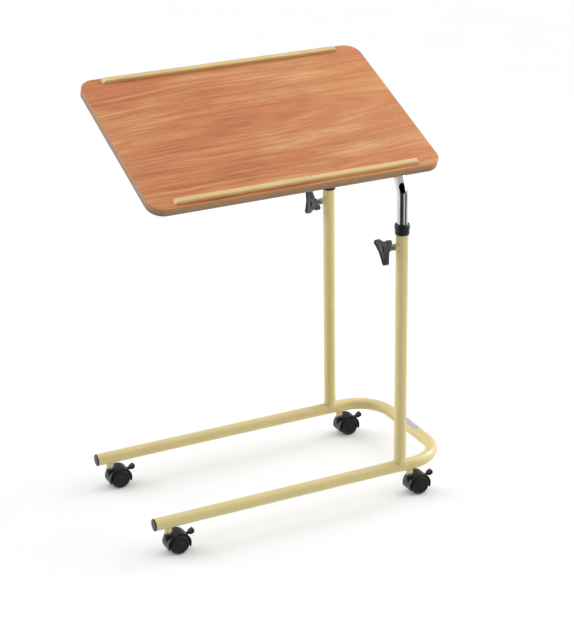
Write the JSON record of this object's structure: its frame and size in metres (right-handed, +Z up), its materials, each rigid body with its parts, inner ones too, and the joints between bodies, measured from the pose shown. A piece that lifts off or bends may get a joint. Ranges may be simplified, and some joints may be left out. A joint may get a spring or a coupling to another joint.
{
  "type": "overbed table",
  "caption": "Wheeled overbed table: C-shaped floor frame, telescoping uprights and a tilting wood-look top with retaining lips.",
  "frame": {"origin": "on the floor, under the middle of the whole table's box in the stored pose", "axes": "+X towards the closed end of the floor tube, +Y towards the raised edge of the top, +Z up"},
  "size_m": [0.676, 0.3943, 0.8938],
  "materials": {
    "cream_paint": "satin powder coat",
    "chrome": "bright plated",
    "black_plastic": "moulded",
    "knob_plastic": "fine spark texture",
    "plated_steel": "zinc plated",
    "wood_laminate": "satin printed laminate, grain along X",
    "edge_strip": "satin edge banding",
    "lip_finish": "pale lacquered",
    "label_film": "blank printed film",
    "castor_plastic": "moulded",
    "wheel_nylon": "moulded"
  },
  "bodies": {
    "floor_frame": {"floor_tube": "cream_paint", "upright_near": "cream_paint", "upright_far": "cream_paint", "end_cap_near": "black_plastic", "end_cap_far": "black_plastic", "collar_near": "black_plastic", "collar_far": "black_plastic", "clamp_boss_near": "cream_paint", "clamp_boss_far": "cream_paint", "castor_sockets": "cream_paint", "blank_label": "label_film"},
    "lift_frame": {"inner_frame": "chrome", "guide_bush_near": "black_plastic", "guide_bush_far": "black_plastic", "spine_tube": "cream_paint", "spine_plugs": "black_plastic", "cradle_block": "cream_paint", "cradle_cap": "cream_paint", "cradle_bolts": "plated_steel", "tilt_stop_pin": "plated_steel"},
    "tilting_top": {"table_top": "wood_laminate", "edge_band": "edge_strip", "lip_low": "lip_finish", "lip_high": "lip_finish", "saddle_open_end": "cream_paint", "saddle_clamp": "cream_paint", "saddle_closed_end": "cream_paint", "saddle_screws": "plated_steel"},
    "clamp_near": {"knob_near": "knob_plastic", "knob_screw_near": "plated_steel"},
    "clamp_far": {"knob_far": "knob_plastic", "knob_screw_far": "plated_steel"},
    "tilt_clamp": {"tilt_knob": "knob_plastic", "tilt_screw": "plated_steel"},
    "castor_1": {"castor_1_housing": "castor_plastic", "castor_1_stem": "plated_steel", "castor_1_axle": "plated_steel"},
    "castor_1_roller_a": {"castor_1_wheel_a": "wheel_nylon"},
    "castor_1_roller_b": {"castor_1_wheel_b": "wheel_nylon"},
    "castor_1_lever": {"castor_1_brake": "castor_plastic"},
    "castor_2": {"castor_2_housing": "castor_plastic", "castor_2_stem": "plated_steel", "castor_2_axle": "plated_steel"},
    "castor_2_roller_a": {"castor_2_wheel_a": "wheel_nylon"},
    "castor_2_roller_b": {"castor_2_wheel_b": "wheel_nylon"},
    "castor_2_lever": {"castor_2_brake": "castor_plastic"},
    "castor_3": {"castor_3_housing": "castor_plastic", "castor_3_stem": "plated_steel", "castor_3_axle": "plated_steel"},
    "castor_3_roller_a": {"castor_3_wheel_a": "wheel_nylon"},
    "castor_3_roller_b": {"castor_3_wheel_b": "wheel_nylon"},
    "castor_3_lever": {"castor_3_brake": "castor_plastic"},
    "castor_4": {"castor_4_housing": "castor_plastic", "castor_4_stem": "plated_steel", "castor_4_axle": "plated_steel"},
    "castor_4_roller_a": {"castor_4_wheel_a": "wheel_nylon"},
    "castor_4_roller_b": {"castor_4_wheel_b": "wheel_nylon"},
    "castor_4_lever": {"castor_4_brake": "castor_plastic"}
  },
  "joints": [
    {"name": "height_slide", "type": "slide", "parent": "floor_frame", "child": "lift_frame", "axis": [0, 0, 1], "range_m": [-0.05, 0.24]},
    {"name": "top_tilt", "type": "hinge", "parent": "lift_frame", "child": "tilting_top", "pos_m": [0.216, 0.018, 0.742], "axis": [1, 0, 0], "range_deg": [-52.5, 7.5]},
    {"name": "clamp_near_turn", "type": "hinge", "parent": "floor_frame", "child": "clamp_near", "pos_m": [0.1805, -0.1405, 0.558], "axis": [1, 0, 0], "range_deg": [0, 270]},
    {"name": "clamp_far_turn", "type": "hinge", "parent": "floor_frame", "child": "clamp_far", "pos_m": [0.1805, 0.1765, 0.558], "axis": [1, 0, 0], "range_deg": [0, 270]},
    {"name": "tilt_clamp_turn", "type": "hinge", "parent": "tilting_top", "child": "tilt_clamp", "pos_m": [-0.03, -0.0245, 0.7244], "axis": [0, 0.9239, 0.3827], "range_deg": [0, 270]},
    {"name": "castor_1_swivel", "type": "hinge", "parent": "floor_frame", "child": "castor_1", "pos_m": [-0.3075, -0.1405, 0.06], "axis": [0, 0, 1], "continuous": true},
    {"name": "castor_1_roll_a", "type": "hinge", "parent": "castor_1", "child": "castor_1_roller_a", "pos_m": [-0.2895, -0.1505, 0.021], "axis": [0, 1, 0], "continuous": true},
    {"name": "castor_1_roll_b", "type": "hinge", "parent": "castor_1", "child": "castor_1_roller_b", "pos_m": [-0.2895, -0.1305, 0.021], "axis": [0, 1, 0], "continuous": true},
    {"name": "castor_1_brake_press", "type": "hinge", "parent": "castor_1", "child": "castor_1_lever", "pos_m": [-0.2805, -0.1405, 0.031], "axis": [0, 1, 0], "range_deg": [0, 18]},
    {"name": "castor_2_swivel", "type": "hinge", "parent": "floor_frame", "child": "castor_2", "pos_m": [-0.3075, 0.1765, 0.06], "axis": [0, 0, 1], "continuous": true},
    {"name": "castor_2_roll_a", "type": "hinge", "parent": "castor_2", "child": "castor_2_roller_a", "pos_m": [-0.2895, 0.1665, 0.021], "axis": [0, 1, 0], "continuous": true},
    {"name": "castor_2_roll_b", "type": "hinge", "parent": "castor_2", "child": "castor_2_roller_b", "pos_m": [-0.2895, 0.1865, 0.021], "axis": [0, 1, 0], "continuous": true},
    {"name": "castor_2_brake_press", "type": "hinge", "parent": "castor_2", "child": "castor_2_lever", "pos_m": [-0.2805, 0.1765, 0.031], "axis": [0, 1, 0], "range_deg": [0, 18]},
    {"name": "castor_3_swivel", "type": "hinge", "parent": "floor_frame", "child": "castor_3", "pos_m": [0.239, -0.1405, 0.06], "axis": [0, 0, 1], "continuous": true},
    {"name": "castor_3_roll_a", "type": "hinge", "parent": "castor_3", "child": "castor_3_roller_a", "pos_m": [0.257, -0.1505, 0.021], "axis": [0, 1, 0], "continuous": true},
    {"name": "castor_3_roll_b", "type": "hinge", "parent": "castor_3", "child": "castor_3_roller_b", "pos_m": [0.257, -0.1305, 0.021], "axis": [0, 1, 0], "continuous": true},
    {"name": "castor_3_brake_press", "type": "hinge", "parent": "castor_3", "child": "castor_3_lever", "pos_m": [0.266, -0.1405, 0.031], "axis": [0, 1, 0], "range_deg": [0, 18]},
    {"name": "castor_4_swivel", "type": "hinge", "parent": "floor_frame", "child": "castor_4", "pos_m": [0.239, 0.1765, 0.06], "axis": [0, 0, 1], "continuous": true},
    {"name": "castor_4_roll_a", "type": "hinge", "parent": "castor_4", "child": "castor_4_roller_a", "pos_m": [0.257, 0.1665, 0.021], "axis": [0, 1, 0], "continuous": true},
    {"name": "castor_4_roll_b", "type": "hinge", "parent": "castor_4", "child": "castor_4_roller_b", "pos_m": [0.257, 0.1865, 0.021], "axis": [0, 1, 0], "continuous": true},
    {"name": "castor_4_brake_press", "type": "hinge", "parent": "castor_4", "child": "castor_4_lever", "pos_m": [0.266, 0.1765, 0.031], "axis": [0, 1, 0], "range_deg": [0, 18]}
  ]
}
